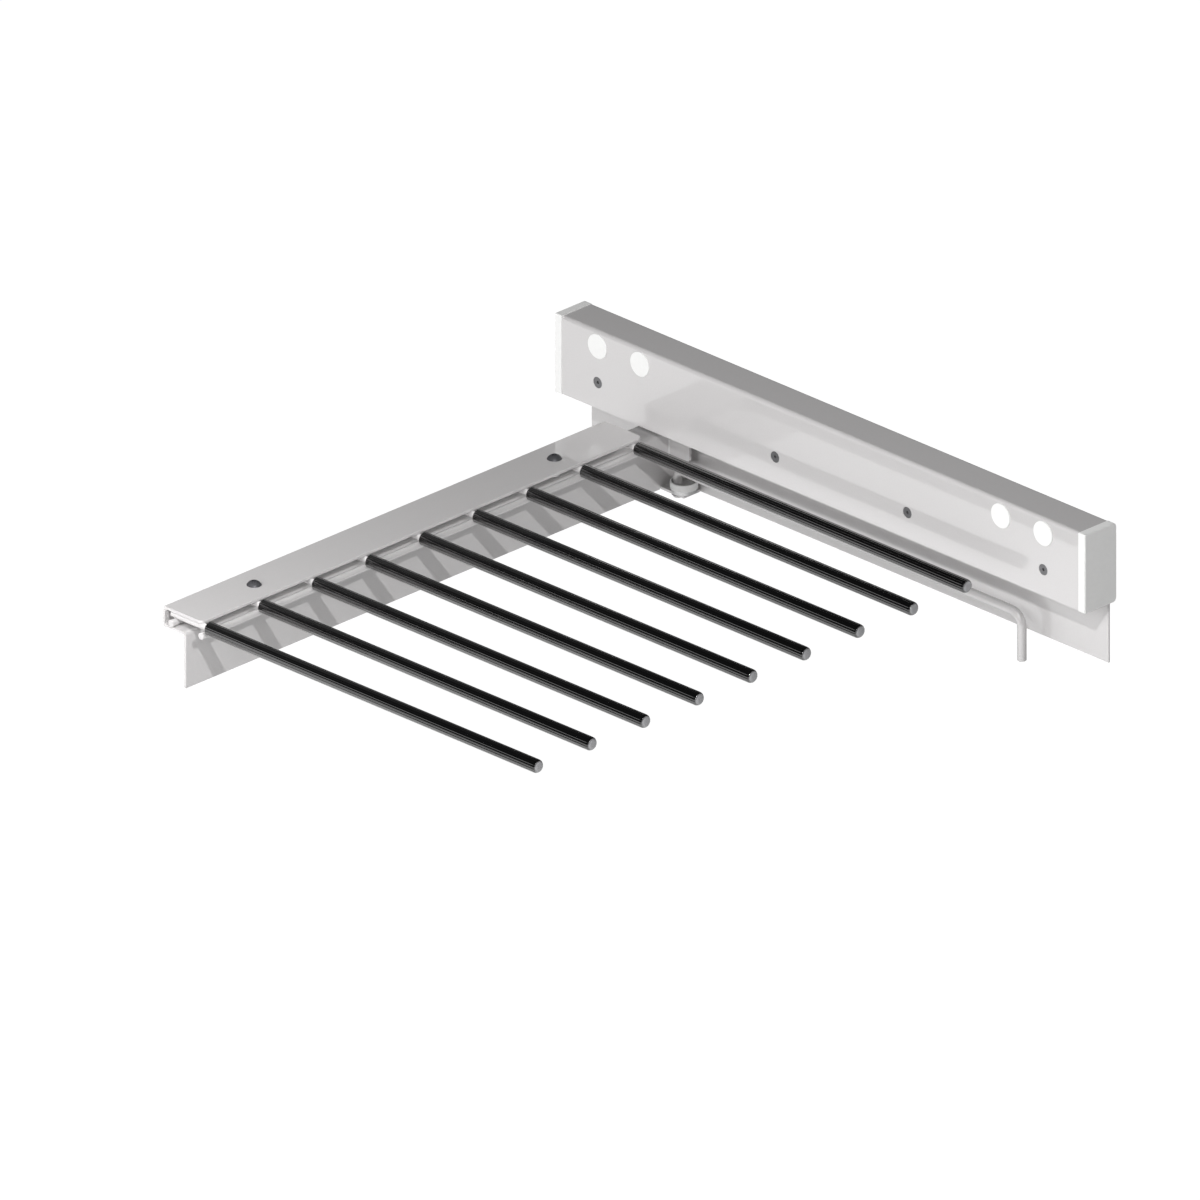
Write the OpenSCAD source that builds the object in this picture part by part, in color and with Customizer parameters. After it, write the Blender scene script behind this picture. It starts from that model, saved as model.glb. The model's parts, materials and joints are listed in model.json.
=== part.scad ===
// Pull-out trouser rack for the side panel of a wardrobe.
// A bent sheet housing is screwed to the panel. A roller carriage runs inside it and carries a crossbar
// with a welded grid of trouser rods, so that the whole rack pulls out to the front.
//
// Directions: +X points to the side panel, +Y to the wardrobe's back, +Z up, and the rack pulls out along -Y.
// The origin lies on the mounting face, halfway along the housing, on the line of the fixing holes.
// Inside the modules, x counts from the housing's near wall, a (= -y) from the housing's rear end
// and z from the housing's lower edge. in_place() carries them to the origin.

/* [Housing] */
// Length of the housing profile, front to back
housing_len = 500; // [460:5:560]
// Height of the housing's far wall, which lies against the panel
far_wall_h = 107; // [102:1:120]
// Sheet thickness of the housing
sheet_t = 1.2; // [1:0.1:1.5]
// Inner radius of the bends along the housing's top
top_bend_r = 1.6; // [0.8:0.1:2.5]
// Depth of the fixing holes below the housing's top
fix_hole_drop = 11.5; // [11:0.5:14]
// Distance of the outer fixing holes from the ends of the profile
fix_hole_end = 34.5; // [30:0.5:45]
// Distance between the two fixing holes of a pair
fix_hole_pitch = 41; // [32:1:50]
// Diameter of the fixing holes in the far wall
fix_hole_d = 5.5; // [4:0.5:6.5]
// Diameter of the access holes in the near wall
access_hole_d = 16.5; // [15:0.5:17]
// How far the near wall reaches below the rail
near_wall_cover = 2.1; // [1:0.1:4]

/* [Hole plugs] */
// Diameter of a plug's visible disc
plug_d = 18; // [17.8:0.1:20]
// Thickness of a plug's disc
plug_t = 0.6; // [0.5:0.1:1.2]
// Length of the spigot behind the disc
plug_spigot_len = 5; // [3:0.5:7]
// Wall of the plug's spigot
plug_wall = 1.2; // [0.8:0.1:2]

/* [End caps] */
// Thickness of an end cap in front of the profile
cap_t = 6.5; // [4:0.5:10]
// How far a cap stands proud of the profile at its top, bottom and near side
cap_proud = 0.5; // [0.3:0.1:1]
// Corner radius of a cap on the panel side
cap_far_r = 3; // [1:0.5:5]
// Corner radius of a cap on the near side
cap_near_r = 0.8; // [0.4:0.1:2]
// Length of the cap's rim inside the profile
cap_rim_len = 4; // [2:0.5:4.5]
// Wall of the cap's rim
cap_rim_t = 1.6; // [1:0.1:2.5]
// Edge radius around the cap's outer face
cap_edge_r = 0.6; // [0.3:0.1:1]

/* [Rail] */
// Height of the C rail
rail_h = 35; // [34:0.5:38]
// Depth of the C rail
rail_depth = 15.2; // [14.8:0.1:16]
// Wall of the C rail
rail_t = 1.6; // [1.2:0.1:2]
// Outer corner radius of the C rail
rail_r = 2.4; // [2.1:0.1:3]
// Height of the rail's lips
rail_lip = 6.6; // [5:0.1:8]
// Distance from the housing's ends to the rail's ends
rail_end_gap = 5.5; // [5:0.5:10]
// Gap between the rail's top and the plugs' spigots
rail_plug_gap = 1.55; // [0.5:0.05:4]
// Thickness of the rubber stops in the rail's ends
stop_t = 6.2; // [4:0.2:9]
// Nominal diameter of the rail screws
rail_screw_d = 4; // [3:0.5:5]
// Height of the clinch nuts behind the rail's back
clinch_nut_h = 1.8; // [1:0.1:2]

/* [Carriage] */
// Diameter of the three carriage wheels
wheel_d = 24; // [22:0.5:26]
// Width of a carriage wheel
wheel_w = 7; // [6:0.1:7.4]
// Distance between neighbouring wheel axles
wheel_pitch = 31; // [28:0.5:36]
// Diameter of the wheel axles where the wheels run
axle_d = 8; // [5:0.5:9]
// Thickness of the carriage plate
carriage_t = 3; // [2.5:0.1:3.5]
// How far the carriage plate reaches in front of the front wheel's axle
carriage_nose = 18; // [16:0.5:24]
// Nominal diameter of the screws between carriage and bracket
bracket_screw_d = 5; // [4:0.5:6]

/* [Crossbar] */
// Sheet thickness of the crossbar
bar_t = 1.8; // [1.5:0.1:2.2]
// Inner bend radius of the crossbar
bar_bend_r = 1; // [0.6:0.1:1.6]
// Depth of the crossbar's flange, back face to web face
bar_depth = 22.4; // [21:0.1:26]
// Gap between the flange and the housing's near wall
under_gap = 6.8; // [3:0.1:10]
// Width of the bracket's side plate, front to back
side_plate_w = 19.9; // [17:0.1:24]
// Height of the side plate's lower edge
side_plate_z = 24; // [22:0.5:28]
// Room between the side plate and the housing's far wall
behind_gap = 7; // [6.4:0.1:7.6]
// Width of the bottom tab, along the crossbar
tab_w = 15.6; // [14:0.1:16]
// Length of the bottom tab, in front of the web
tab_len = 22.2; // [20:0.1:26]

/* [Cover] */
// Thickness of the cover strip
cover_t = 2; // [1.5:0.1:3]
// Depth of the cover strip, front to back
cover_depth = 36.6; // [36:0.1:37]
// Plan radius of the cover's front corners
cover_corner_r = 4; // [2:0.5:8]
// Nominal diameter of the cover screws
cover_screw_d = 6; // [5:0.5:6]

/* [Rods] */
// Distance between neighbouring trouser rods
rod_pitch = 51.85; // [48:0.01:60]
// Distance from the housing's near wall to the last rod
rod_side_gap = 27.5; // [24:0.5:34]
// Diameter of the rod and cross wires
wire_d = 5; // [4:0.1:6]
// Diameter of the rods' sleeves
sleeve_d = 9.1; // [8.6:0.1:9.6]
// Length of the rods' sleeves
sleeve_len = 320; // [240:1:340]
// Length of the sleeves' rounded tip
sleeve_tip = 2.6; // [2:0.1:4.2]

/* [Pull handle] */
// Diameter of the handle wire
handle_d = 6.5; // [5:0.1:7]
// Height of the handle's long run
handle_z = 17.2; // [16:0.1:18]
// Distance from the web to the handle's front leg
handle_reach = 344.8; // [200:0.5:400]
// Depth of the front leg's end below the housing's lower edge
handle_drop = 17.6; // [5:0.1:40]
// Centreline radius of the handle's front bend
handle_bend_r = 10; // [8:0.5:14]
// Centreline radius of the handle's rear bend
handle_rear_r = 6; // [4:0.5:7]

/* [Support roller] */
// Diameter of the support roller
roller_d = 19.4; // [19:0.1:20]
// Height of the support roller
roller_h = 5.2; // [4.8:0.1:6]
// Distance from the web to the roller's axis
roller_reach = 15.9; // [15:0.1:17]
// Distance between the roller's axis and the handle's rear leg, front to back
hub_offset = 3.8; // [3:0.1:4.2]

/* [Hidden] */
$fn = 48;
rod_count = 9;

// Overrun of every cut past the face that it leaves
over = 1;
// Clearance between a wheel or roller and the face that it runs on
run_gap = 0.3;
// Radial clearance of a running bore on its axle
bore_fit = 0.05;
// Clearance between pieces that are welded, screwed or pushed together
seat_gap = 0.05;
// Radial clearance of a plain screw hole
screw_clear = 0.2;
// Gap between a wheel and its rubber stop at either end of the travel
stop_gap = 0.3;
// Gap between the rail's lips and the carriage plate
lip_gap = 0.6;
// Axial play of a wheel or roller
side_play = 0.2;

// Wheel axles: head, collar and rivet tail
axle_head_d = axle_d + 4;
axle_head_t = 1.2;
axle_collar_d = axle_d + 3;
axle_tail_d = axle_d - 2;
// Gap between the clinch nuts and the axle heads
nut_head_gap = 0.4;
// Wheel: hub, rim and edge radius
wheel_hub_wall = 2.4;
wheel_rim_wall = 2.6;
wheel_recess = 1.5;
wheel_edge_r = 0.8;
wheel_hole_count = 6;

// Carriage plate behind the rear axle, above and below the rail, and its corners
carriage_tail = 14;
carriage_over_rail = 1;
carriage_corner_r = 5;
// Side plate: gap to the carriage's front edge, corner radii, and its screws' distance from the rail's height
plate_edge_gap = 0.7;
plate_corner_r = 2.5;
plate_top_r = 4;
bracket_screw_edge = 5;

// Heights of the button heads and their sockets, as shares of the screw's diameter
head_d_share = 1.75;
head_h_share = 0.55;
socket_share = 0.66;
socket_depth_share = 0.3;
// Countersunk rail screws: head diameter and depth below the near wall's face
csk_head_d_share = 2.05;
csk_sink = 0.25;
csk_socket_share = 0.62;
csk_socket_depth = 1.4;
clinch_nut_d_share = 2;
// Places of the two middle rail screws along the housing
rail_screw_shares = [0.412, 0.668];

// Cover: overhang behind the crossbar, past the first rod and past the last rod
cover_back_over = 0.7;
cover_left_over = 2.7;
cover_right_over = 8.5;
cover_edge_r = 0.7;
// Cover screws: distance from the cover's back edge, and places counted in rod pitches from the first rod
cover_screw_back = 19;
cover_screw_shares = [1.256, 6.86];
pillar_wall = 1;
// Crossbar and cross wires past the rods at both ends
bar_left_over = 4.7;
wire_over = 5.7;
// Cross wires: rear one behind the web's face, front one in front of it
rear_wire_back = 14.1;
front_wire_reach = 15;
// Rod wires: distance of their back ends from the cover's back edge
rod_back_inset = 5.4;
wire_chamfer = 0.4;
// Sleeves: gap to the front cross wire, wire end inside the tip, and flutes
sleeve_wire_gap = 0.2;
tip_wall = 2.4;
flute_count = 14;
flute_r = 0.5;
flute_depth = 0.28;

// Crossbar: relief cuts beside the tab, bracket tongue
relief_w = 0.8;
tongue_w = 8;
tongue_inset = 6.6;
tongue_under = 2.2;

// Roller: counterbore, edge; hub: collar, head, skin around the leg
roller_edge_r = 0.5;
roller_land = 2.2;
hub_collar_h = 2.3;
hub_collar_over = 0.8;
hub_head_t = 0.7;
hub_head_over = 0.45;
hub_skin = 0.4;
clip_t = 1;
clip_ring = 1.2;
leg_below_clip = 2;

// Places across the housing
rail_x = sheet_t;
nut_x = rail_x + rail_t;
axle_head_x = nut_x + clinch_nut_h + nut_head_gap;
wheel_x = axle_head_x + axle_head_t + side_play;
rail_front_x = rail_x + rail_depth;
carriage_x = rail_front_x + lip_gap;
plate_x = carriage_x + carriage_t;
wall_face_x = plate_x + bar_t + behind_gap;
housing_w = wall_face_x + sheet_t;
handle_x = plate_x - seat_gap - handle_d / 2;
roller_x = wall_face_x - run_gap - roller_d / 2;

// Heights
bracket_screw_pitch = rail_h - 2 * bracket_screw_edge;
fix_z = far_wall_h - fix_hole_drop;
rail_z = fix_z - access_hole_d / 2 - rail_plug_gap - rail_h / 2;
near_wall_z = rail_z - rail_h / 2 - near_wall_cover;
flange_top = near_wall_z - under_gap;
wheel_low_z = rail_z - rail_h / 2 + rail_t + run_gap + wheel_d / 2;
wheel_high_z = rail_z + rail_h / 2 - rail_t - run_gap - wheel_d / 2;
cross_wire_z = flange_top + seat_gap + wire_d / 2;
rod_z = cross_wire_z + wire_d + seat_gap;
cover_z = rod_z + wire_d / 2 + seat_gap;
roller_z = bar_t + hub_collar_h + run_gap;

// Places along the travel, with the rack pushed in
wheel_a = rail_end_gap + stop_t + stop_gap + wheel_d / 2;
carriage_back = wheel_a - carriage_tail;
carriage_front = wheel_a + 2 * wheel_pitch + carriage_nose;
plate_front = carriage_front - plate_edge_gap;
bar_face = plate_front - side_plate_w;
bar_back = bar_face - bar_depth;
cover_back = bar_back - cover_back_over;
rear_wire_a = bar_face - rear_wire_back;
front_wire_a = bar_face + front_wire_reach;
cover_screw_a = cover_back + cover_screw_back;
rod_back = cover_back + rod_back_inset;
sleeve_a = front_wire_a + wire_d / 2 + sleeve_wire_gap;
roller_a = bar_face + roller_reach;
leg_a = roller_a - hub_offset;
handle_front_a = bar_face + handle_reach;
bracket_screw_a = bar_face + side_plate_w / 2;

// How far the rack pulls out: the front wheel meets its stop
travel = housing_len - 2 * (rail_end_gap + stop_t + stop_gap) - wheel_d - 2 * wheel_pitch;
echo(travel = travel);

// Places along the crossbar
function rod_x(i) = -rod_side_gap - (rod_count - i) * rod_pitch;
bar_left = rod_x(1) - bar_left_over;
cover_left = rod_x(1) - cover_left_over;
cover_right = rod_x(rod_count) + cover_right_over;
wire_left = rod_x(1) - wire_over;
wire_right = rod_x(rod_count) + wire_over;
cover_screw_x = [for (s = cover_screw_shares) rod_x(1) + s * rod_pitch];

// Fixing holes and rail screws along the housing
fix_a = [fix_hole_end, fix_hole_end + fix_hole_pitch,
    housing_len - fix_hole_end - fix_hole_pitch, housing_len - fix_hole_end];
rail_screw_a = concat([fix_hole_end], [for (s = rail_screw_shares) s * housing_len],
    [housing_len - fix_hole_end]);

// Hub around the roller's axis, with the handle's rear leg off its centre
hub_side = roller_x - handle_x;
hub_r = norm([hub_offset, hub_side]) + handle_d / 2 + hub_skin;
hub_collar_r = hub_r + hub_collar_over;
hub_head_r = hub_r + hub_head_over;

// Frame and directions
module in_place() {
    translate([-housing_w, housing_len / 2, -fix_z])
        children();
}

// Carries a section drawn in x and z along the housing, from a to a + len
module along_a(a, len) {
    translate([0, -a, 0])
        rotate([90, 0, 0])
            linear_extrude(len)
                children();
}

// Carries a section drawn in a and z across the rack, from x to x + len
module along_x(x, len) {
    translate([x + len, 0, 0])
        rotate([0, 0, -90])
            rotate([90, 0, 0])
                linear_extrude(len)
                    children();
}

// Turns a shape whose axis is +Z so that its axis is +X, at x, a, z
module axis_x(x, a, z) {
    translate([x, -a, z])
        rotate([0, 90, 0])
            children();
}

// Turns a shape whose axis is +Z so that its axis points to the front, at x, a, z
module axis_front(x, a, z) {
    translate([x, -a, z])
        rotate([90, 0, 0])
            children();
}

// Rectangle with a radius of its own at each side
module rounded_rect(w, h, left_r, right_r) {
    union() {
        translate([left_r, 0])
            square([w - left_r - right_r, h]);
        translate([0, left_r])
            square([left_r, h - 2 * left_r]);
        translate([w - right_r, right_r])
            square([right_r, h - 2 * right_r]);
        for (z = [left_r, h - left_r])
            translate([left_r, z])
                circle(left_r);
        for (z = [right_r, h - right_r])
            translate([w - right_r, z])
                circle(right_r);
    }
}

// Quarter of a bent sheet around the origin, in the quadrant given by sx and sy
module sheet_bend(r, t, sx, sy) {
    intersection() {
        difference() {
            circle(r + t);
            circle(r);
        }
        translate([sx > 0 ? 0 : -(r + t), sy > 0 ? 0 : -(r + t)])
            square(r + t);
    }
}

// Straight wire with chamfered ends
module wire(d, len, chamfer) {
    cylinder(d1 = d - 2 * chamfer, d2 = d, h = chamfer);
    translate([0, 0, chamfer])
        cylinder(d = d, h = len - 2 * chamfer);
    translate([0, 0, len - chamfer])
        cylinder(d1 = d, d2 = d - 2 * chamfer, h = chamfer);
}

// Housing: one sheet, bent into a J that hangs over the rail
module housing_outline(inset) {
    r = top_bend_r + sheet_t - inset;
    w = housing_w - 2 * inset;
    h = far_wall_h - inset;
    translate([inset, 0])
        union() {
            square([w, h - r]);
            translate([r, h - r])
                square([w - 2 * r, r]);
            for (x = [r, w - r])
                translate([x, h - r])
                    circle(r);
        }
}

module housing_section() {
    difference() {
        housing_outline(0);
        difference() {
            housing_outline(sheet_t);
            translate([housing_w - sheet_t, 0])
                square([sheet_t, far_wall_h]);
        }
        translate([-over, -over])
            square([wall_face_x + over, near_wall_z + over]);
    }
}

module housing_profile() {
    color("silver")
        in_place()
            difference() {
                along_a(0, housing_len)
                    housing_section();
                for (a = fix_a) {
                    axis_x(-over, a, fix_z)
                        cylinder(d = access_hole_d, h = sheet_t + 2 * over);
                    axis_x(wall_face_x - over, a, fix_z)
                        cylinder(d = fix_hole_d, h = sheet_t + 2 * over);
                }
                for (a = rail_screw_a)
                    countersink(a, seat_gap);
            }
}

// Cone and shank of a rail screw, widened by a clearance where it cuts a hole
module countersink(a, clear) {
    r_head = csk_head_d_share * rail_screw_d / 2;
    r_shank = rail_screw_d / 2;
    cone = r_head - r_shank;
    axis_x(csk_sink, a, rail_z) {
        cylinder(r1 = r_head + clear, r2 = r_shank + clear, h = cone);
        cylinder(r = r_shank + clear, h = nut_x + clinch_nut_h - csk_sink);
        if (clear > 0) {
            translate([0, 0, -csk_sink - over])
                cylinder(r = r_head + clear, h = csk_sink + over);
            cylinder(r = r_shank + clear, h = nut_x + clinch_nut_h);
        }
    }
}

// End cap with a rim that plugs into the profile
module end_cap() {
    cap_h = far_wall_h - near_wall_z + 2 * cap_proud;
    cap_w = housing_w + cap_proud;
    translate([-cap_proud, 0, near_wall_z - cap_proud]) {
        along_a(-cap_t + cap_edge_r, cap_t - cap_edge_r)
            rounded_rect(cap_w, cap_h, cap_near_r, cap_far_r);
        along_a(-cap_t, cap_edge_r)
            translate([cap_edge_r / 2, cap_edge_r / 2])
                rounded_rect(cap_w - cap_edge_r, cap_h - cap_edge_r, cap_near_r, cap_far_r);
    }
    along_a(0, cap_rim_len)
        cap_rim();
}

module cap_rim() {
    side = sheet_t + seat_gap;
    rim_top = far_wall_h - sheet_t - seat_gap;
    difference() {
        translate([side, rail_z])
            rounded_rect(housing_w - 2 * side, rim_top - rail_z, top_bend_r, top_bend_r);
        translate([side + cap_rim_t, rail_z - over])
            square([housing_w - 2 * side - 2 * cap_rim_t, rim_top - rail_z - cap_rim_t + over]);
    }
}

module end_cap_rear() {
    color("white")
        in_place()
            end_cap();
}

module end_cap_front() {
    color("white")
        in_place()
            translate([0, -housing_len, 0])
                mirror([0, 1, 0])
                    end_cap();
}

// Round plug over an access hole, with a hollow spigot
module hole_plug(i) {
    dome = plug_t / 3;
    spigot_r = access_hole_d / 2 - seat_gap;
    color("white")
        in_place()
            axis_x(0, fix_a[i - 1], fix_z)
                rotate_extrude()
                    difference() {
                        union() {
                            translate([0, dome - plug_t])
                                square([plug_d / 2, plug_t - dome]);
                            translate([0, -plug_t])
                                square([plug_d / 2 - dome, dome]);
                            translate([spigot_r - plug_wall, -dome])
                                square([plug_wall, plug_spigot_len + dome]);
                            translate([plug_d / 2 - dome, dome - plug_t])
                                intersection() {
                                    circle(dome);
                                    translate([0, -dome])
                                        square(dome);
                                }
                        }
                        translate([-plug_d, -plug_d])
                            square([plug_d, 2 * plug_d]);
                    }
}

// C rail, its screws, nuts and rubber stops
module track_rail() {
    color("lightgray")
        in_place()
            difference() {
                along_a(rail_end_gap, housing_len - 2 * rail_end_gap)
                    translate([rail_x, rail_z - rail_h / 2])
                        difference() {
                            rounded_rect(rail_depth, rail_h, rail_r, rail_r);
                            translate([rail_t, rail_t])
                                rounded_rect(rail_depth - 2 * rail_t, rail_h - 2 * rail_t,
                                    rail_r - rail_t, rail_r - rail_t);
                            translate([rail_depth - rail_t - over, rail_lip])
                                square([rail_t + 2 * over, rail_h - 2 * rail_lip]);
                        }
                for (a = rail_screw_a)
                    countersink(a, seat_gap);
            }
}

module rail_screws() {
    socket_r = csk_socket_share * rail_screw_d / 2;
    color("dimgray")
        in_place()
            for (a = rail_screw_a)
                difference() {
                    countersink(a, 0);
                    axis_x(csk_sink - over, a, rail_z)
                        cylinder(r = socket_r, h = csk_socket_depth + over, $fn = 6);
                }
}

module rail_clinch_nuts() {
    color("gray")
        in_place()
            for (a = rail_screw_a)
                axis_x(nut_x, a, rail_z)
                    difference() {
                        cylinder(d = clinch_nut_d_share * rail_screw_d, h = clinch_nut_h);
                        translate([0, 0, -over])
                            cylinder(d = rail_screw_d + 2 * seat_gap, h = clinch_nut_h + 2 * over);
                    }
}

module rail_stop() {
    gap = 2 * seat_gap;
    translate([rail_x + rail_t + gap, rail_z - rail_h / 2 + rail_t + gap])
        rounded_rect(rail_depth - 2 * rail_t - 2 * gap, rail_h - 2 * rail_t - 2 * gap,
            rail_r - rail_t / 2, rail_r - rail_t / 2);
}

module rail_stop_rear() {
    color("#303030")
        in_place()
            along_a(rail_end_gap, stop_t)
                rail_stop();
}

module rail_stop_front() {
    color("#303030")
        in_place()
            along_a(housing_len - rail_end_gap - stop_t, stop_t)
                rail_stop();
}

// Carriage: plate, three riveted axles and the wheels
module at_wheel(i) {
    axis_x(0, wheel_a + i * wheel_pitch, i == 1 ? wheel_high_z : wheel_low_z)
        children();
}

module carriage_plate() {
    h = rail_h + 2 * carriage_over_rail;
    color("gainsboro")
        in_place()
            difference() {
                along_x(carriage_x, carriage_t)
                    translate([carriage_back, rail_z - h / 2])
                        rounded_rect(carriage_front - carriage_back, h,
                            carriage_corner_r, carriage_corner_r);
                for (i = [0:2])
                    at_wheel(i)
                        translate([0, 0, carriage_x - over])
                            cylinder(d = axle_tail_d + 2 * seat_gap, h = carriage_t + 2 * over);
                for (s = [-1, 1])
                    axis_x(carriage_x - over, bracket_screw_a, rail_z + s * bracket_screw_pitch / 2)
                        cylinder(d = bracket_screw_d + 2 * seat_gap, h = carriage_t + 2 * over);
            }
}

module wheel_axles() {
    color("darkgray")
        in_place()
            for (i = [0:2])
                at_wheel(i) {
                    translate([0, 0, axle_head_x])
                        cylinder(d = axle_head_d, h = axle_head_t);
                    translate([0, 0, axle_head_x])
                        cylinder(d = axle_d, h = carriage_x - axle_head_x);
                    translate([0, 0, wheel_x + wheel_w + side_play])
                        cylinder(d = axle_collar_d, h = carriage_x - wheel_x - wheel_w - side_play);
                    translate([0, 0, axle_head_x])
                        cylinder(d = axle_tail_d, h = plate_x - axle_head_x);
                }
}

module wheel() {
    bore_r = axle_d / 2 + bore_fit;
    hub_wall_r = bore_r + wheel_hub_wall;
    rim_wall_r = wheel_d / 2 - wheel_rim_wall;
    difference() {
        rotate_extrude()
            difference() {
                translate([bore_r, 0])
                    rounded_tyre(wheel_d / 2 - bore_r, wheel_w, wheel_edge_r);
                for (z = [-over, wheel_w - wheel_recess])
                    translate([hub_wall_r, z])
                        square([rim_wall_r - hub_wall_r, wheel_recess + over]);
            }
        for (k = [0:wheel_hole_count - 1])
            rotate(k * 360 / wheel_hole_count)
                translate([(hub_wall_r + rim_wall_r) / 2, 0, -over])
                    cylinder(d = (rim_wall_r - hub_wall_r) * 0.7, h = wheel_w + 2 * over);
    }
}

// Section of a tyre: square at the bore, rounded at the running face
module rounded_tyre(w, h, r) {
    union() {
        square([w - r, h]);
        translate([0, r])
            square([w, h - 2 * r]);
        for (z = [r, h - r])
            translate([w - r, z])
                circle(r);
    }
}

module track_wheel(i) {
    color("#e8e8e0")
        in_place()
            at_wheel(i)
                translate([0, 0, wheel_x])
                    wheel();
}

module track_wheel_rear() {
    track_wheel(0);
}

module track_wheel_middle() {
    track_wheel(1);
}

module track_wheel_front() {
    track_wheel(2);
}

// Button head screw along +Z, its seat at z = 0
module button_screw(d, shank) {
    head_r = head_d_share * d / 2;
    head_h = head_h_share * d;
    ball_r = (head_r * head_r + head_h * head_h) / (2 * head_h);
    difference() {
        union() {
            intersection() {
                translate([0, 0, head_h - ball_r])
                    sphere(ball_r);
                cylinder(r = head_r, h = head_h - head_h / 12);
            }
            translate([0, 0, -shank])
                cylinder(d = d, h = shank);
        }
        translate([0, 0, head_h - socket_depth_share * d])
            cylinder(d = socket_share * d, h = d, $fn = 6);
    }
}

module bracket_screws() {
    color("dimgray")
        in_place()
            for (s = [-1, 1])
                axis_x(plate_x + bar_t, bracket_screw_a, rail_z + s * bracket_screw_pitch / 2)
                    button_screw(bracket_screw_d, bar_t + carriage_t);
}

// Crossbar: one bent sheet with back wall, flange, web, side plate and bottom tab
module bar_section() {
    r = bar_bend_r;
    t = bar_t;
    back_bend = [bar_back + t + r, flange_top + r];
    front_bend = [bar_face - t - r, flange_top - t - r];
    union() {
        translate([bar_back, back_bend[1]])
            square([t, cover_z - back_bend[1]]);
        translate(back_bend)
            sheet_bend(r, t, -1, -1);
        translate([back_bend[0], flange_top - t])
            square([front_bend[0] - back_bend[0], t]);
        translate(front_bend)
            sheet_bend(r, t, 1, 1);
        translate([bar_face - t, 0])
            square([t, front_bend[1]]);
    }
}

// Flange and web only, for the stretch under the housing
module bar_section_low() {
    difference() {
        bar_section();
        translate([bar_back - over, flange_top])
            square([bar_depth + 2 * over, cover_z]);
        translate([bar_back - over, 0])
            square([bar_t + bar_bend_r + over, cover_z]);
    }
}

module side_plate_outline() {
    top = rail_z + rail_h / 2;
    tongue_top = side_plate_z + tongue_under;
    difference() {
        union() {
            translate([bar_face + bar_bend_r, side_plate_z])
                square([side_plate_w - bar_bend_r - plate_corner_r, top - side_plate_z]);
            translate([plate_front - plate_corner_r, side_plate_z + plate_corner_r])
                square([plate_corner_r, top - side_plate_z - plate_corner_r - plate_top_r]);
            translate([plate_front - plate_corner_r, side_plate_z + plate_corner_r])
                circle(plate_corner_r);
            translate([bar_face + tongue_inset, handle_z - tongue_under])
                square([tongue_w, tongue_top - handle_z + tongue_under]);
        }
        translate([plate_front - plate_top_r, top - plate_top_r])
            difference() {
                square(plate_top_r + over);
                circle(plate_top_r);
            }
    }
}

module side_plate() {
    along_x(plate_x, bar_t)
        side_plate_outline();
    translate([plate_x - bar_bend_r, -bar_face - bar_bend_r, side_plate_z])
        linear_extrude(flange_top - side_plate_z)
            sheet_bend(bar_bend_r, bar_t, 1, 1);
}

module bottom_tab() {
    r = bar_bend_r;
    along_x(tab_x, tab_w)
        union() {
            translate([bar_face + r, bar_t + r])
                sheet_bend(r, bar_t, -1, -1);
            translate([bar_face + r, 0])
                square([tab_len - r, bar_t]);
            translate([bar_face - bar_t, bar_t + r])
                square([bar_t, over]);
        }
}

tab_x = wall_face_x - over - tab_w;

module crossbar() {
    web_right = plate_x - bar_bend_r;
    color("silver")
        in_place()
            difference() {
                union() {
                    along_x(bar_left, cover_right - bar_left)
                        bar_section();
                    difference() {
                        union() {
                            along_x(cover_right, web_right - cover_right)
                                bar_section_low();
                            along_x(web_right, wall_face_x - over - web_right)
                                translate([bar_face - bar_t, 0])
                                    square([bar_t, side_plate_z]);
                        }
                        along_x(tab_x - relief_w, tab_w + 2 * relief_w)
                            translate([bar_face - bar_t - over, -over])
                                square([bar_t + 2 * over, bar_t + bar_bend_r + over]);
                    }
                    side_plate();
                    bottom_tab();
                }
                for (s = [-1, 1])
                    axis_x(plate_x - over, bracket_screw_a, rail_z + s * bracket_screw_pitch / 2)
                        cylinder(r = bracket_screw_d / 2 + screw_clear, h = bar_t + 2 * over);
                translate([handle_x, -leg_a, -over])
                    cylinder(d = handle_d + 2 * seat_gap, h = bar_t + 2 * over);
            }
}

// Cover strip over the ends of the rods, its pillars and screws
module cover_plan() {
    r = cover_corner_r;
    len = cover_right - cover_left;
    difference() {
        translate([cover_left, -cover_back - cover_depth])
            square([len, cover_depth]);
        for (side = [0, 1])
            translate([side ? cover_right - r : cover_left + r, -cover_back - cover_depth + r])
                difference() {
                    translate([side ? 0 : -r - over, -r - over])
                        square(r + over);
                    circle(r);
                }
    }
}

module crossbar_cover() {
    color("silver")
        in_place()
            difference() {
                translate([0, 0, cover_z])
                    linear_extrude(cover_t)
                        cover_plan();
                for (x = cover_screw_x)
                    translate([x, -cover_screw_a, cover_z - over])
                        cylinder(r = cover_screw_d / 2 + screw_clear, h = cover_t + 2 * over);
                // Rolled upper edge along the front
                along_x(cover_left - over, cover_right - cover_left + 2 * over)
                    translate([cover_back + cover_depth - cover_edge_r, cover_z + cover_t - cover_edge_r])
                        difference() {
                            square(cover_edge_r + over);
                            circle(cover_edge_r);
                        }
            }
}

module cover_pillars() {
    pillar_d = cover_screw_d + 2 * pillar_wall;
    color("gray")
        in_place()
            for (x = cover_screw_x)
                translate([x, -cover_screw_a, flange_top])
                    difference() {
                        cylinder(d = pillar_d, h = cover_z - flange_top);
                        translate([0, 0, 2 * bar_t])
                            cylinder(d = cover_screw_d + 2 * seat_gap, h = cover_z);
                    }
}

module cover_screws() {
    color("dimgray")
        in_place()
            for (x = cover_screw_x)
                translate([x, -cover_screw_a, cover_z + cover_t])
                    button_screw(cover_screw_d, cover_t + wire_d);
}

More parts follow.
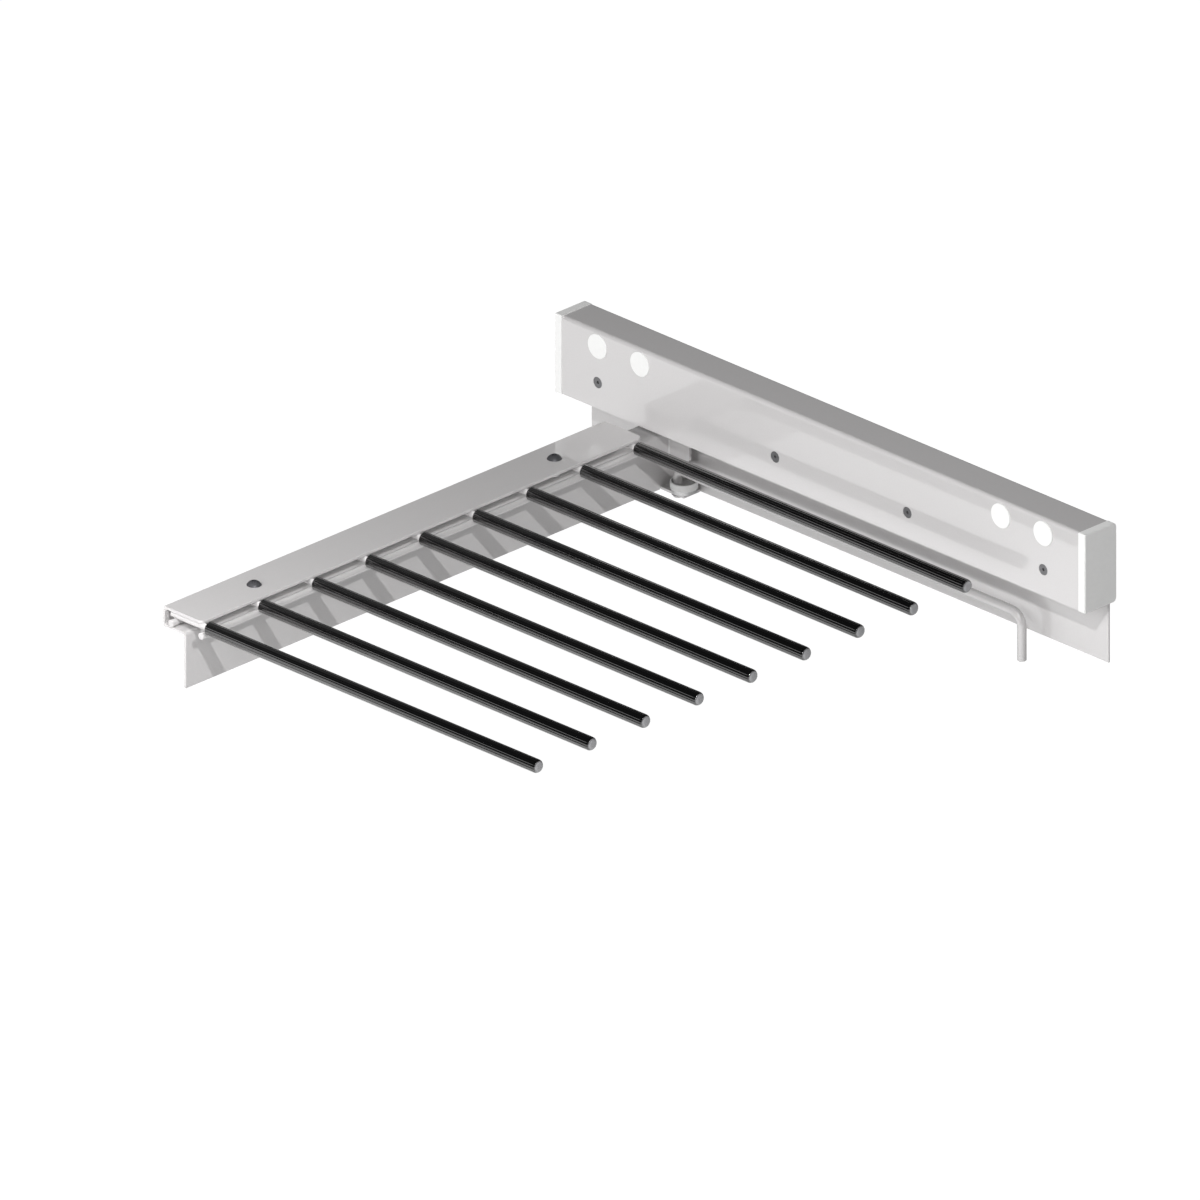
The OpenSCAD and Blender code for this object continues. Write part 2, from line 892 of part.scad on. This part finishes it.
// Cross wires and rod wires of the welded grid
module cross_wire(a) {
    color("gainsboro")
        in_place()
            axis_x(wire_left, a, cross_wire_z)
                wire(wire_d, wire_right - wire_left, wire_chamfer);
}

module cross_wire_rear() {
    cross_wire(rear_wire_a);
}

module cross_wire_front() {
    cross_wire(front_wire_a);
}

module rod_wire(i) {
    color("gainsboro")
        in_place()
            axis_front(rod_x(i), rod_back, rod_z)
                wire(wire_d, sleeve_a + sleeve_len - tip_wall - rod_back, wire_chamfer);
}

// Fluted sleeve with a rounded, closed tip
module rod_sleeve(i) {
    r = sleeve_d / 2;
    color("#101012")
        in_place()
            axis_front(rod_x(i), sleeve_a, rod_z)
                difference() {
                    union() {
                        linear_extrude(sleeve_len - sleeve_tip)
                            difference() {
                                circle(r);
                                for (k = [0:flute_count - 1])
                                    rotate(k * 360 / flute_count)
                                        translate([r + flute_r - flute_depth, 0])
                                            circle(flute_r);
                            }
                        translate([0, 0, sleeve_len - sleeve_tip])
                            rotate_extrude()
                                sleeve_tip_section(r);
                    }
                    translate([0, 0, -over])
                        cylinder(d = wire_d + 2 * seat_gap, h = sleeve_len - tip_wall + seat_gap + over);
                }
}

module sleeve_tip_section(r) {
    intersection() {
        union() {
            square([r - sleeve_tip, sleeve_tip]);
            translate([r - sleeve_tip, 0])
                circle(sleeve_tip);
        }
        square([r, sleeve_tip]);
    }
}

// Pull handle: one wire, bent down at both ends
module wire_bend(d, r) {
    rotate([90, 0, 0])
        rotate_extrude(angle = 90)
            translate([r, 0])
                circle(d = d);
}

module pull_handle() {
    front_leg = handle_z - handle_bend_r + handle_drop;
    rear_leg = handle_z - handle_rear_r + clip_t + leg_below_clip;
    run_a = leg_a + handle_rear_r;
    run_len = handle_front_a - handle_bend_r - run_a;
    color("lightgray")
        in_place() {
            axis_front(handle_x, run_a, handle_z)
                cylinder(d = handle_d, h = run_len);
            translate([handle_x, -run_a - run_len, handle_z - handle_bend_r])
                rotate([0, 0, -90])
                    wire_bend(handle_d, handle_bend_r);
            translate([handle_x, -run_a, handle_z - handle_rear_r])
                rotate([0, 0, 90])
                    wire_bend(handle_d, handle_rear_r);
            translate([handle_x, -handle_front_a, -handle_drop])
                leg_wire(front_leg);
            translate([handle_x, -leg_a, -clip_t - leg_below_clip])
                leg_wire(rear_leg);
        }
}

module leg_wire(len) {
    cylinder(d1 = handle_d - 2 * wire_chamfer, d2 = handle_d, h = wire_chamfer);
    translate([0, 0, wire_chamfer])
        cylinder(d = handle_d, h = len - wire_chamfer);
}

// Hub that holds the roller off the centre of the handle's rear leg
module roller_hub() {
    journal_top = roller_z + roller_land + run_gap;
    color("darkgray")
        in_place()
            difference() {
                translate([roller_x, -roller_a, 0]) {
                    translate([0, 0, bar_t])
                        cylinder(r = hub_collar_r, h = hub_collar_h);
                    translate([0, 0, bar_t])
                        cylinder(r = hub_r, h = journal_top - bar_t);
                    translate([0, 0, journal_top])
                        cylinder(r = hub_head_r, h = hub_head_t);
                }
                translate([handle_x, -leg_a, 0])
                    cylinder(d = handle_d + 2 * seat_gap, h = handle_z);
            }
}

module hub_clip() {
    color("gray")
        in_place()
            translate([handle_x, -leg_a, -clip_t])
                difference() {
                    cylinder(d = handle_d + 2 * clip_ring, h = clip_t);
                    translate([0, 0, -over])
                        cylinder(d = handle_d + 2 * seat_gap, h = clip_t + 2 * over);
                }
}

module support_roller() {
    bore_r = hub_r + bore_fit;
    counterbore_r = hub_head_r + run_gap;
    color("white")
        in_place()
            translate([roller_x, -roller_a, roller_z])
                rotate_extrude()
                    difference() {
                        translate([bore_r, 0])
                            rounded_tyre(roller_d / 2 - bore_r, roller_h, roller_edge_r);
                        translate([0, roller_land])
                            square([counterbore_r, roller_h]);
                    }
}

housing_profile();
end_cap_front();
end_cap_rear();
for (i = [1:4])
    hole_plug(i);
track_rail();
rail_screws();
rail_clinch_nuts();
rail_stop_front();
rail_stop_rear();
carriage_plate();
wheel_axles();
bracket_screws();
track_wheel_rear();
track_wheel_middle();
track_wheel_front();
crossbar();
crossbar_cover();
cover_pillars();
cover_screws();
cross_wire_rear();
cross_wire_front();
for (i = [1:rod_count]) {
    rod_wire(i);
    rod_sleeve(i);
}
pull_handle();
roller_hub();
hub_clip();
support_roller();
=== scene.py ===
# %% [markdown]
# # A pull-out trouser rack, dressed for its portrait
#
# The rack is a bent sheet housing on a wardrobe's side panel. A crossbar slides out of it and carries nine
# rods in black fluted sleeves. The construction comes in as a finished frame: every piece already has its
# place and size. This lesson sets the camera and the light, gives the pieces their finishes, and sweeps the
# fluted sleeves afresh.

# %% Load the frame
import json
import math

import bmesh
import bpy
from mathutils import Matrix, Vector


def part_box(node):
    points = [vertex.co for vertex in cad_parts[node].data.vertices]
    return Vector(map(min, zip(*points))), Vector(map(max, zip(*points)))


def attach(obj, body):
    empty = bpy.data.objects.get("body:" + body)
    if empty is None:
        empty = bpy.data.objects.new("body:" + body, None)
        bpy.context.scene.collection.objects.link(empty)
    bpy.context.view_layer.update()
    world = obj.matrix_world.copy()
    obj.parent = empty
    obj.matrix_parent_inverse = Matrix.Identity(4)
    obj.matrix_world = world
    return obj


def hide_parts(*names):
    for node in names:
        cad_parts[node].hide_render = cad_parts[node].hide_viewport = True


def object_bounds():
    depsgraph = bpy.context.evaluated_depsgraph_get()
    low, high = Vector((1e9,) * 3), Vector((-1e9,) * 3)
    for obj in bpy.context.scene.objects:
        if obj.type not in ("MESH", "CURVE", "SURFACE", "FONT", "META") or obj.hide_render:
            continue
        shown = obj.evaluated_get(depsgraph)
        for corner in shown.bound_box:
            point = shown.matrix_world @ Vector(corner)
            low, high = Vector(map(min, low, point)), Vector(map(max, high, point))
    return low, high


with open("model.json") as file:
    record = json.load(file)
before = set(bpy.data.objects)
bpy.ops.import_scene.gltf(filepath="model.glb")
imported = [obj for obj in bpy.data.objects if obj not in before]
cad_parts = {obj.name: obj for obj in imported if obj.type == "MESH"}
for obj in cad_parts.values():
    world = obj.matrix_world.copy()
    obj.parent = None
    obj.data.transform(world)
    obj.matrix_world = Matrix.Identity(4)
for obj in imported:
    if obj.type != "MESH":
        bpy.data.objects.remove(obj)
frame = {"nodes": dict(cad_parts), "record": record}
cad_low, cad_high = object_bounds()
print("CAD box, mm:", [round((high - low) * 1000, 1) for low, high in zip(cad_low, cad_high)])

# %% [markdown]
# ## Small helpers
#
# Sizes are thought of in millimetres, because that is how a workshop speaks, and Blender wants metres. One
# constant does the conversion. Colours are picked as hex values, as on a screen, and the renderer needs them
# linear, so one function turns them. Nodes could be added and linked in separate lines, but one small function
# for all of them keeps each node's settings and links together.

# %% Units, colours and nodes
MM = 0.001
MIX_FROM, MIX_TO, MIX_RESULT = 6, 7, 2      # the Mix node's colour sockets, which share names with its number sockets


def linear(hex_colour):
    """An sRGB hex colour as linear red, green, blue and alpha."""
    parts = [int(hex_colour[i:i + 2], 16) / 255 for i in (1, 3, 5)]
    flat = [p / 12.92 if p <= 0.04045 else ((p + 0.055) / 1.055) ** 2.4 for p in parts]
    return (*flat, 1.0)


def add_node(tree, kind, settings=None, links=None):
    """Adds a node, sets its properties or sockets by name, and links other sockets into it."""
    node = tree.nodes.new(kind)
    for name, value in (settings or {}).items():
        if isinstance(name, str) and hasattr(node, name):
            setattr(node, name, value)
        else:
            node.inputs[name].default_value = value
    for name, socket in (links or {}).items():
        tree.links.new(socket, node.inputs[name])
    return node


print("helpers ready, mid grey is", [round(c, 3) for c in linear("#808080")[:3]])

# %% [markdown]
# ## The camera
#
# The product picture is drawn without perspective: parallel edges stay parallel. An orthographic camera does
# the same. It looks from the front left, 24.8 degrees above the horizon, and its scale says how many metres
# the picture is wide.

# %% Camera
VIEW_ELEVATION = math.radians(24.83)
VIEW_AZIMUTH = math.radians(-45)
PICTURE_WIDTH = 820.8 * MM
PICTURE_CENTRE = Vector((-175.0, 68.2, -95.5)) * MM
CAMERA_DISTANCE = 3.0

to_camera = Vector((math.sin(VIEW_AZIMUTH) * math.cos(VIEW_ELEVATION),
                    -math.cos(VIEW_AZIMUTH) * math.cos(VIEW_ELEVATION),
                    math.sin(VIEW_ELEVATION)))
camera_data = bpy.data.cameras.new("camera")
camera_data.type = "ORTHO"
camera_data.ortho_scale = PICTURE_WIDTH
camera = bpy.data.objects.new("camera", camera_data)
camera.location = PICTURE_CENTRE + to_camera * CAMERA_DISTANCE
camera.rotation_euler = to_camera.to_track_quat("Z", "Y").to_euler()
bpy.context.scene.collection.objects.link(camera)
bpy.context.scene.camera = camera
print("camera at, mm:", [round(c / MM) for c in camera.location])

# %% [markdown]
# ## The studio
#
# The light comes from the left, so upright faces turned that way are the brightest. The key lamp is small and
# stands high at the front left. It draws the rods' crisp shadows on the crossbar. The near lamp is large, lower
# and further back. It lights the housing and lays the last sleeve's soft shadow under it. The front lamp, large
# too, fills the crossbar's web from the front left. The large lamps aren't mirrored, because they would break up
# into bright patches on the sleeves' ribs. The room gives a little light from all sides.
#
# Lacquer and coat also show what stands round them. Mirror rays meet a nearly black room, a dim wall at the
# right and a floor that is bright at the left. That gives the sleeves a black middle and a grey band above and
# below it. One white room would be simpler, but then the black sleeves would turn grey. The camera itself sees
# plain white paper. The paper's glow outshines the rack's shadow, because the product picture shows none.

# %% World
WORLD_STRENGTH = 0.218
MIRRORED_WALL = 0.14
MIRRORED_CEILING = 0.02
PAPER_GLOW = 1.0
# How far up and how far right a mirror ray points: the dim wall fades from foot to top and grows to the right.
WALL_FOOT, WALL_TOP = 0.1, 0.8
WALL_LEFT, WALL_RIGHT = -0.2, 0.5

bpy.context.scene.view_settings.view_transform = "Standard"
world = bpy.data.worlds.new("studio")
world.use_nodes = True
bpy.context.scene.world = world
tree = world.node_tree
tree.nodes.clear()
direction = add_node(tree, "ShaderNodeTexCoord")
split = add_node(tree, "ShaderNodeSeparateXYZ", links={"Vector": direction.outputs["Generated"]})
height = add_node(tree, "ShaderNodeMapRange", {"From Min": WALL_FOOT, "From Max": WALL_TOP,
                                               "To Min": MIRRORED_WALL, "To Max": 0.0}, {"Value": split.outputs["Z"]})
wall_side = add_node(tree, "ShaderNodeMapRange", {"From Min": WALL_LEFT, "From Max": WALL_RIGHT},
                     {"Value": split.outputs["X"]})
wall = add_node(tree, "ShaderNodeMath", {"operation": "MULTIPLY"},
                {0: height.outputs["Result"], 1: wall_side.outputs["Result"]})
dome = add_node(tree, "ShaderNodeMath", {"operation": "ADD", 1: MIRRORED_CEILING}, {0: wall.outputs["Value"]})
soft = add_node(tree, "ShaderNodeBackground", {"Color": linear("#FFFFFF"), "Strength": WORLD_STRENGTH})
mirrored = add_node(tree, "ShaderNodeBackground", {"Color": linear("#FFFFFF")}, {"Strength": dome.outputs["Value"]})
paper = add_node(tree, "ShaderNodeBackground", {"Color": linear("#FFFFFF"), "Strength": PAPER_GLOW})
ray = add_node(tree, "ShaderNodeLightPath")
glossy = add_node(tree, "ShaderNodeMixShader", links={0: ray.outputs["Is Glossy Ray"], 1: soft.outputs[0],
                                                     2: mirrored.outputs[0]})
clear = add_node(tree, "ShaderNodeMixShader", links={0: ray.outputs["Is Transmission Ray"], 1: glossy.outputs[0],
                                                    2: paper.outputs[0]})
seen = add_node(tree, "ShaderNodeMixShader", links={0: ray.outputs["Is Camera Ray"], 1: clear.outputs[0],
                                                   2: paper.outputs[0]})
add_node(tree, "ShaderNodeOutputWorld", links={"Surface": seen.outputs[0]})
print("world nodes:", len(tree.nodes))

# %% Lamps
KEY_POWER = 11.25
NEAR_POWER = 4.826
FRONT_POWER = 2.548
rack_middle = (Vector(cad_low) + Vector(cad_high)) / 2


def area_lamp(name, place_mm, size_mm, power, mirrored):
    """A square lamp at a place, turned to the middle of the rack. Gloss shows it only if it is mirrored."""
    place = Vector(place_mm) * MM
    data = bpy.data.lights.new(name, "AREA")
    data.size = size_mm * MM
    data.energy = power
    lamp = bpy.data.objects.new(name, data)
    lamp.location = place
    lamp.rotation_euler = (place - rack_middle).to_track_quat("Z", "Y").to_euler()
    lamp.visible_glossy = mirrored
    bpy.context.scene.collection.objects.link(lamp)
    return lamp


area_lamp("key_lamp", (-1029, -909, 940), 25, KEY_POWER, True)
area_lamp("near_lamp", (-900, 170, 345), 480, NEAR_POWER, False)
area_lamp("front_lamp", (-1100, -500, 300), 500, FRONT_POWER, False)

# %% [markdown]
# **The floor.** The rack hangs on a side panel, so the floor lies well below it. It is one round sheet of paper. The
# camera sees it glow white. Mirror rays see it bright at the left and dark at the right. All other rays meet
# matt, nearly white paper, which throws some light back up.

# %% Floor
FLOOR_DROP = 420 * MM
FLOOR_RADIUS = 12.0
FLOOR_CORNERS = 64
MIRRORED_LEFT = 0.68
MIRRORED_RIGHT = 0.12
LEFT_EDGE = -1100 * MM
RIGHT_EDGE = 100 * MM

floor_mesh = bmesh.new()
bmesh.ops.create_circle(floor_mesh, cap_ends=True, segments=FLOOR_CORNERS, radius=FLOOR_RADIUS)
floor_data = bpy.data.meshes.new("floor")
floor_mesh.to_mesh(floor_data)
floor_mesh.free()
floor = bpy.data.objects.new("floor", floor_data)
floor.location.z = cad_low[2] - FLOOR_DROP
bpy.context.scene.collection.objects.link(floor)
floor_paper = bpy.data.materials.new("pale_paper")
floor_paper.use_nodes = True
tree = floor_paper.node_tree
tree.nodes.clear()
ray = add_node(tree, "ShaderNodeLightPath")
matt = add_node(tree, "ShaderNodeBsdfDiffuse", {"Color": linear("#F2F2F2")})
across = add_node(tree, "ShaderNodeTexCoord").outputs["Object"]
across = add_node(tree, "ShaderNodeSeparateXYZ", links={"Vector": across}).outputs["X"]
spread = add_node(tree, "ShaderNodeMapRange", {"From Min": LEFT_EDGE, "From Max": RIGHT_EDGE,
                                               "To Min": MIRRORED_LEFT, "To Max": MIRRORED_RIGHT}, {"Value": across})
gloss_part = add_node(tree, "ShaderNodeMath", {"operation": "MULTIPLY"},
                      {0: ray.outputs["Is Glossy Ray"], 1: spread.outputs["Result"]})
gloss_glow = add_node(tree, "ShaderNodeEmission", {"Color": linear("#FFFFFF")}, {"Strength": gloss_part.outputs[0]})
unseen = add_node(tree, "ShaderNodeAddShader", links={0: matt.outputs[0], 1: gloss_glow.outputs[0]})
faint = add_node(tree, "ShaderNodeBsdfDiffuse", {"Color": linear("#505050")})
white = add_node(tree, "ShaderNodeEmission", {"Color": linear("#FFFFFF"), "Strength": PAPER_GLOW})
shown = add_node(tree, "ShaderNodeAddShader", links={0: faint.outputs[0], 1: white.outputs[0]})
both = add_node(tree, "ShaderNodeMixShader", links={0: ray.outputs["Is Camera Ray"], 1: unseen.outputs[0],
                                                   2: shown.outputs[0]})
add_node(tree, "ShaderNodeOutputMaterial", links={"Surface": both.outputs[0]})
floor_data.materials.append(floor_paper)
print("floor at, mm:", round((cad_low[2] - FLOOR_DROP) / MM))

# %% [markdown]
# ## Finishes
#
# Each finish is a small graph on Object coordinates. These are metres, so a pattern's scale is one over its
# real size in metres. A pixel of the picture is 0.7 mm wide. The skins of lacquer and moulded plastic are finer than
# that and wouldn't show, so their grains are drawn 0.5 to 3 mm wide. Flat colours would be simpler, but they look
# like paint on paper. Values that are the same all over are set on the shader itself.

# %% Shared finish graph
TONE_DETAIL = 4.0
SKIN_DETAIL = 2.0
GRAINS_PER_HEIGHT = 10      # a grain of the skin is ten times as wide as it is high


def per_metre(size_mm):
    """The scale of a pattern whose grains are this many millimetres apart."""
    return 1 / (size_mm * MM)


def finish(name, light, dark, grain_mm, rough_low, rough_high, bump_mm, bump_share, **shader):
    """A surface whose colour wanders between two tones, whose gloss varies, and whose skin is slightly uneven."""
    material = bpy.data.materials.new(name)
    material.use_nodes = True
    tree = material.node_tree
    tree.nodes.clear()
    place = add_node(tree, "ShaderNodeTexCoord").outputs["Object"]
    tone = add_node(tree, "ShaderNodeTexNoise", {"Scale": per_metre(grain_mm), "Detail": TONE_DETAIL},
                    {"Vector": place})
    colour = add_node(tree, "ShaderNodeMix", {"data_type": "RGBA", MIX_FROM: linear(dark), MIX_TO: linear(light)},
                      {"Factor": tone.outputs["Fac"]})
    sheen = add_node(tree, "ShaderNodeMapRange", {"To Min": rough_low, "To Max": rough_high},
                     {"Value": tone.outputs["Fac"]})
    skin = add_node(tree, "ShaderNodeTexNoise", {"Scale": per_metre(bump_mm), "Detail": SKIN_DETAIL},
                    {"Vector": place})
    relief = add_node(tree, "ShaderNodeBump", {"Strength": bump_share, "Distance": bump_mm * MM / GRAINS_PER_HEIGHT},
                      {"Height": skin.outputs["Fac"]})
    surface = add_node(tree, "ShaderNodeBsdfPrincipled", shader,
                       {"Base Color": colour.outputs[MIX_RESULT], "Roughness": sheen.outputs["Result"],
                        "Normal": relief.outputs["Normal"]})
    add_node(tree, "ShaderNodeOutputMaterial", links={"Surface": surface.outputs["BSDF"]})
    return material


print("a 0.5 mm grain has scale", per_metre(0.5))

# %% [markdown]
# **Silver-grey lacquer on steel.** The sheet is sprayed with a lacquer that holds a few fine aluminium flakes,
# under a clear layer. The pigment scatters light widely, so the sheet looks evenly grey. The clear layer is
# smooth and adds the faint sharp bands in which the housing mirrors the rods. Real flakes could be drawn one by
# one, but they are far finer than a pixel, so a little metal in the pigment stands for them.

# %% Silver lacquer
silver_lacquer = finish("silver_lacquer", "#D3D1D1", "#CBC9C9", 1.2, 0.34, 0.44, 0.9, 0.03,
                        **{"Metallic": 0.08, "Coat Weight": 1.0, "Coat IOR": 1.7, "Coat Roughness": 0.012})
print(silver_lacquer.name)

# %% [markdown]
# **White nylon.** The end caps, plugs and support roller are moulded. The mould gives an even satin skin with a
# very fine texture, brighter than the lacquer beside it and without its mirror bands.

# %% White nylon
white_nylon = finish("white_nylon", "#F4F4F3", "#EDEDEC", 3.0, 0.36, 0.46, 0.6, 0.1)
print(white_nylon.name)

# %% [markdown]
# **Black sleeve plastic.** The sleeves are extruded and leave the die with a glossy skin. The plastic itself is
# nearly black. What the eye sees is the skin's reflection of the room, broken into thin lines by the grooves.

# %% Black sleeve plastic
black_extrusion = finish("black_extrusion", "#070708", "#040404", 2.0, 0.14, 0.2, 3.0, 0.004,
                         **{"Specular IOR Level": 0.2, "Coat Weight": 1.0, "Coat Roughness": 0.04, "Coat IOR": 1.72})
print(black_extrusion.name)

# %% [markdown]
# ** The painted tip reflection.** Every rod ends in a pale spot where its glossy dome mirrors the bright floor. That
# # reflection is painted into the sleeve's colour as a grey. A piece of its own could carry that colour. The sleeve
# is one piece, though,
# # so the colour changes along it, just behind the tip.

# %% Painted tip reflection
# The grey is a painted reflection of the bright floor on each tip, not a colour of the black plastic.
TIP_REFLECTION_GREY = "#98989A"
TIP_REFLECTION_REACH = 1.5 * MM       # how far the grey reaches back from the tip
TIP_REFLECTION_FADE = 0.9 * MM      # the length over which it fades into the black

tree = black_extrusion.node_tree
sleeve_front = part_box("rod_sleeve_1")[0][1]
sleeve_shader = next(node for node in tree.nodes if node.type == "BSDF_PRINCIPLED")
skin_tone = sleeve_shader.inputs["Base Color"].links[0].from_socket
along = add_node(tree, "ShaderNodeTexCoord").outputs["Object"]
along = add_node(tree, "ShaderNodeSeparateXYZ", links={"Vector": along}).outputs["Y"]
# Painted reflection: the sleeve's black turns grey over the last millimetres before the tip.
tip_reflection_mask = add_node(tree, "ShaderNodeMapRange", {"From Min": sleeve_front + TIP_REFLECTION_REACH,
                                               "From Max": sleeve_front + TIP_REFLECTION_REACH - TIP_REFLECTION_FADE}, {"Value": along})
painted_tip_tone = add_node(tree, "ShaderNodeMix", {"data_type": "RGBA", MIX_TO: linear(TIP_REFLECTION_GREY)},
                    {"Factor": tip_reflection_mask.outputs["Result"], MIX_FROM: skin_tone})
tree.links.new(painted_tip_tone.outputs[MIX_RESULT], sleeve_shader.inputs["Base Color"])
print("the tips start to turn grey at y, mm:", round((sleeve_front + TIP_REFLECTION_REACH) / MM, 1))

# %% [markdown]
# **Blackened steel.** The cover's and the bracket's screws have a dark chemical finish that leaves a metallic grey
# where light strikes it. Plain black would hide the round of their heads.

# %% Blackened steel
blackened_steel = finish("blackened_steel", "#636366", "#4E4E51", 0.8, 0.4, 0.5, 0.5, 0.08, **{"Metallic": 0.5})
print(blackened_steel.name)

# %% [markdown]
# **Phosphated steel.** The countersunk screws in the near wall and the roller's retaining ring are lighter than
# the button heads. A thin grey phosphate layer leaves the steel's own sheen, and only the sockets are dark.

# %% Phosphated steel
phosphated_steel = finish("phosphated_steel", "#7E7E80", "#68686A", 0.8, 0.3, 0.4, 0.5, 0.05, **{"Metallic": 0.5})
print(phosphated_steel.name)

# %% [markdown]
# **Zinc plate, natural nylon and rubber.** These are inside the housing or under the crossbar. Zinc plate is a
# cool silver with small patches of gloss, nylon left in its own colour is creamy, and rubber is matt.

# %% Hidden finishes
zinc_plate = finish("zinc_plate", "#C9C9C9", "#B0B0B0", 2.5, 0.24, 0.42, 0.7, 0.08, **{"Metallic": 1.0})
natural_nylon = finish("natural_nylon", "#E9E5D6", "#DFDAC8", 3.0, 0.38, 0.5, 0.6, 0.1,
                       **{"Coat Weight": 0.1})
stop_rubber = finish("stop_rubber", "#242424", "#1A1A1A", 1.5, 0.65, 0.8, 0.5, 0.25)
print(zinc_plate.name, natural_nylon.name, stop_rubber.name)

# %% [markdown]
# **Dressing the frame.** The frame's record names a finish for every piece, so one table from those names to the
# finishes above dresses them all. Two pieces differ from their record and get grey phosphate.

# %% Put the finishes on the frame
FINISH_OF_NODE = {"rail_screws": phosphated_steel, "hub_clip": phosphated_steel}
FINISHES = {
    "silver_paint": silver_lacquer,
    "white_plastic": white_nylon,
    "black_sleeve": black_extrusion,
    "dark_screw": blackened_steel,
    "zinc_steel": zinc_plate,
    "natural_nylon": natural_nylon,
    "black_rubber": stop_rubber,
}
slot_of = {part["node"]: part["material_slot"] for part in frame["record"]["subparts"]}
for node, thing in frame["nodes"].items():
    thing.data.materials.clear()
    thing.data.materials.append(FINISH_OF_NODE.get(node, FINISHES[slot_of[node]]))
print("dressed", len(frame["nodes"]), "pieces")

# %% [markdown]
# ## The sleeves
#
# An extruded sleeve has narrow grooves along its whole length, with rounded ribs between them, and its front
# end is closed to a dome. A cylinder with a bump pattern would be lighter, but its outline would stay round and
# its tip flat. So rings are laid along the rod, each is pressed in at the grooves, and faces join them: up the
# bore, round the back lip, along the ribs and over the dome.

# %% Fluted sleeves
RIB_COUNT = 14
POINTS_PER_RIB = 10
SLEEVE_RADIUS = 4.95 * MM
GROOVE_DEPTH = 0.26 * MM
BORE_RADIUS = 2.65 * MM
LIP_ROUND = 0.35 * MM
DOME_LENGTH = 3.4 * MM
DOME_RINGS = 9
BORE_PAST_SHOULDER = 1 * MM
GROOVE_NARROWNESS = 3       # the power that makes the grooves narrow and the ribs wide
QUARTER_TURN = math.radians(90)
CREASE_ANGLE = math.radians(50)
ROD_COUNT = 9


def sleeve_stations(back, front):
    """Radius, place along the rod and share of the groove's depth for each ring, from the bore to the dome."""
    shoulder = front + DOME_LENGTH
    yield BORE_RADIUS, shoulder + BORE_PAST_SHOULDER, 0.0
    yield BORE_RADIUS, back, 0.0
    yield SLEEVE_RADIUS - LIP_ROUND, back, 1.0
    yield SLEEVE_RADIUS, back - LIP_ROUND, 1.0
    inner = SLEEVE_RADIUS - DOME_LENGTH
    for step in range(DOME_RINGS):
        turn = QUARTER_TURN * step / DOME_RINGS
        yield inner + DOME_LENGTH * math.cos(turn), shoulder - DOME_LENGTH * math.sin(turn), 1 - step / DOME_RINGS


def fluted_sleeve(name, middle_x, middle_z, back, front):
    """A sleeve along a rod. Its place is in its mesh, so the object stays at the origin."""
    points = RIB_COUNT * POINTS_PER_RIB
    mesh = bmesh.new()
    rings = []
    for radius, along, groove_share in sleeve_stations(back, front):
        ring = bmesh.ops.create_circle(mesh, segments=points, radius=radius)["verts"]
        for index, vert in enumerate(ring):
            turn = 2 * math.pi * index / points
            groove = max(0.0, math.cos(RIB_COUNT * turn)) ** GROOVE_NARROWNESS * GROOVE_DEPTH * groove_share
            vert.co = (middle_x + (radius - groove) * math.cos(turn), along,
                       middle_z + (radius - groove) * math.sin(turn))
        rings.append(ring)
    for ring, following in zip(rings, rings[1:]):
        for index in range(points):
            after = (index + 1) % points
            mesh.faces.new((ring[index], ring[after], following[after], following[index]))
    mesh.faces.new(rings[0])
    mesh.faces.new(rings[-1])
    bmesh.ops.recalc_face_normals(mesh, faces=mesh.faces)
    for face in mesh.faces:
        face.smooth = True
    data = bpy.data.meshes.new(name)
    mesh.to_mesh(data)
    mesh.free()
    data.set_sharp_from_angle(angle=CREASE_ANGLE)
    sleeve = bpy.data.objects.new(name, data)
    bpy.context.scene.collection.objects.link(sleeve)
    return sleeve


for number in range(1, ROD_COUNT + 1):
    node = f"rod_sleeve_{number}"
    low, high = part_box(node)
    sleeve = fluted_sleeve(f"fluted_{node}", (low[0] + high[0]) / 2, (low[2] + high[2]) / 2, high[1], low[1])
    sleeve.data.materials.append(black_extrusion)
    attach(sleeve, "rack")
    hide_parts(node)
print("triangles in a sleeve:", sum(len(face.vertices) - 2 for face in sleeve.data.polygons))
